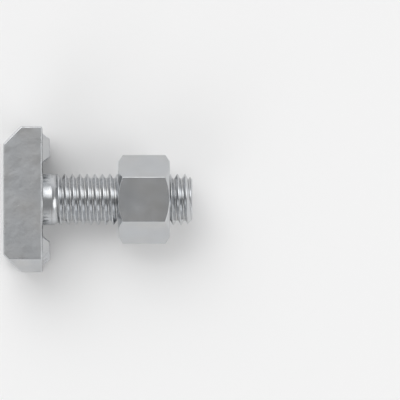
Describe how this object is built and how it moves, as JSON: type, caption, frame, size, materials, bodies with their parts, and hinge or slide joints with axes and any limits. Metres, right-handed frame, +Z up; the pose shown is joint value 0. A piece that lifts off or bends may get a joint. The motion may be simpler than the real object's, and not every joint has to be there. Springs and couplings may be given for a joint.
{
  "type": "t slot bolt",
  "caption": "Bolt with a hammer head that turns inside a channel slot, toothed pads that grip the slot's lips, a threaded shank with a slotted tip, and a hexagon nut.",
  "frame": {"origin": "on the bolt's axis, in the plane of the head's underside from which the toothed pads stand", "axes": "+X along the bolt's axis towards the threaded tip, +Y along the head's length, +Z up across the head's width, as the bolt lies on its side"},
  "size_m": [0.044, 0.034, 0.0196],
  "materials": {
    "bolt_steel": "bright zinc plate on forged steel",
    "nut_steel": "bright zinc plate on machined steel"
  },
  "bodies": {
    "bolt": {"bolt": "bolt_steel"},
    "nut": {"nut": "nut_steel"}
  },
  "joints": [
    {"name": "nut_travel", "type": "slide", "parent": "bolt", "child": "nut", "axis": [1, 0, 0], "range_m": [-0.01225, 0.01575]}
  ]
}
